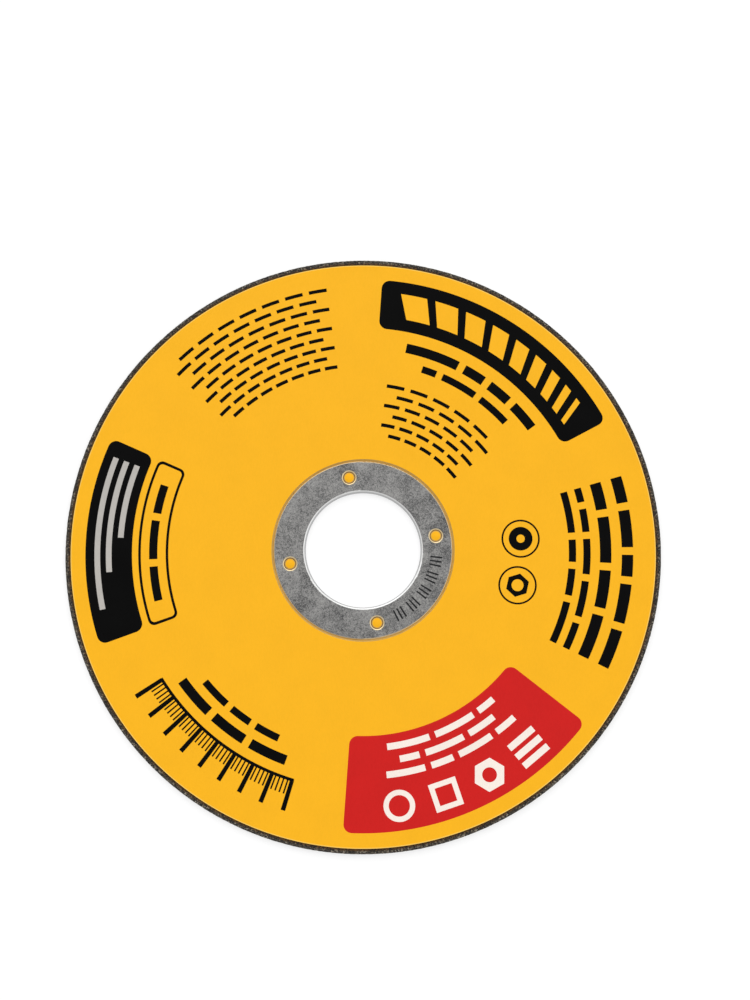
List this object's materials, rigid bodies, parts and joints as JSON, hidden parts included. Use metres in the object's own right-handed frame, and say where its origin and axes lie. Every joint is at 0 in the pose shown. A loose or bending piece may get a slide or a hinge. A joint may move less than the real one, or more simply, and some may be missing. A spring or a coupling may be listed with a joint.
{
  "type": "cut-off wheel",
  "caption": "Thin flat bonded abrasive cut-off wheel for an angle grinder, with a printed paper label on its front face and a pressed metal ring lining its bore.",
  "frame": {"origin": "on the bore's axis, in the plane of the back face that the wheel lies on", "axes": "+Z along the bore's axis, out of the label; +Y towards the top of the label; +X towards its right"},
  "size_m": [0.115, 0.115, 0.0013],
  "materials": {
    "abrasive": "dark brown-grey, grainy, resin bonded",
    "label_paper": "golden yellow print with red and black fields, slight sheen",
    "ring_steel": "dull plated sheet metal, mottled"
  },
  "bodies": {
    "root": {"abrasive_disc": "abrasive", "paper_label": "label_paper", "arbor_ring": "ring_steel"}
  },
  "joints": []
}
